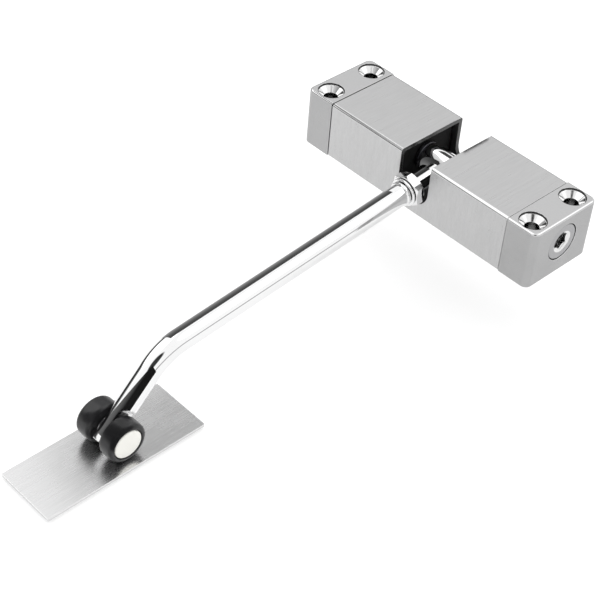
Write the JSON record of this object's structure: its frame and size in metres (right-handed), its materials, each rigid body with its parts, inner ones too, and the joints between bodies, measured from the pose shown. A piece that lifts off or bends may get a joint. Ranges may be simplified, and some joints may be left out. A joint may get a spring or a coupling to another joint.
{
  "type": "door closer",
  "caption": "Small surface-mounted spring door closer: square housing, cross shaft with hub, bent chrome arm with rubber rollers, and a stick-on wear plate.",
  "frame": {"origin": "centre of the housing's back face, on the door frame", "axes": "+X along the housing towards the tension adjuster, +Z away from the frame, arm towards -Y"},
  "size_m": [0.096, 0.1761, 0.0478],
  "materials": {
    "brushed_steel": "fine satin brushing",
    "satin_cap": "satin",
    "chrome": "bright chrome plating",
    "plain_steel": "turned, zinc plated",
    "spring_steel": "oil blackened",
    "black_plastic": "matt",
    "rubber": "satin",
    "white_plastic": "satin",
    "foam": "matt foam"
  },
  "bodies": {
    "housing": {"housing_tube": "brushed_steel", "right_end_cap": "satin_cap", "left_end_cap": "satin_cap", "right_bush": "black_plastic", "left_bush": "black_plastic", "right_cap_screw": "plain_steel", "left_cap_screw": "plain_steel"},
    "arm": {"arm_hub": "chrome", "shaft": "plain_steel", "hub_pin": "spring_steel", "spring_carrier": "plain_steel", "torsion_spring": "spring_steel", "retaining_ring": "spring_steel", "right_thrust_washer": "plain_steel", "left_thrust_washer": "plain_steel", "arm_rod": "chrome", "roller_axle": "plain_steel", "right_spacer": "plain_steel", "left_spacer": "plain_steel"},
    "washer": {"lock_washer": "chrome"},
    "nut": {"lock_nut": "chrome"},
    "right_roller": {"right_tyre": "rubber", "right_roller_core": "white_plastic", "right_roller_cap": "white_plastic"},
    "left_roller": {"left_tyre": "rubber", "left_roller_core": "white_plastic", "left_roller_cap": "white_plastic"},
    "adjuster": {"tension_adjuster": "plain_steel"},
    "plate": {"wear_plate": "brushed_steel", "adhesive_pad": "foam"}
  },
  "joints": [
    {"name": "arm_swing", "type": "hinge", "parent": "housing", "child": "arm", "pos_m": [0, 0, 0.011], "axis": [-1, 0, 0], "range_deg": [0, 150], "stiffness_Nm_per_rad": 0.5, "springref_deg": -57.3, "deforming": ["torsion_spring"]},
    {"name": "nut_travel", "type": "slide", "parent": "arm", "child": "washer", "axis": [0, 0.9949, 0.1011], "range_m": [0, 0.0012]},
    {"name": "nut_turn", "type": "hinge", "parent": "washer", "child": "nut", "pos_m": [0, -0.01582, 0.00939], "axis": [0, 0.9949, 0.1011], "range_deg": [0, 432]},
    {"name": "right_roller_spin", "type": "hinge", "parent": "arm", "child": "right_roller", "pos_m": [0, -0.13201, -0.0192], "axis": [1, 0, 0], "continuous": true},
    {"name": "left_roller_spin", "type": "hinge", "parent": "arm", "child": "left_roller", "pos_m": [0, -0.13201, -0.0192], "axis": [1, 0, 0], "continuous": true},
    {"name": "tension_turn", "type": "hinge", "parent": "housing", "child": "adjuster", "pos_m": [0.042, 0, 0.011], "axis": [1, 0, 0], "range_deg": [0, 270], "deforming": ["torsion_spring"]},
    {"name": "plate_shift", "type": "slide", "parent": "housing", "child": "plate", "axis": [0, 1, 0], "range_m": [-0.018, 0.018]}
  ],
  "couplings": [
    {"joint": "nut_turn", "follows": "nut_travel", "rad_per_m": 6283.2}
  ]
}
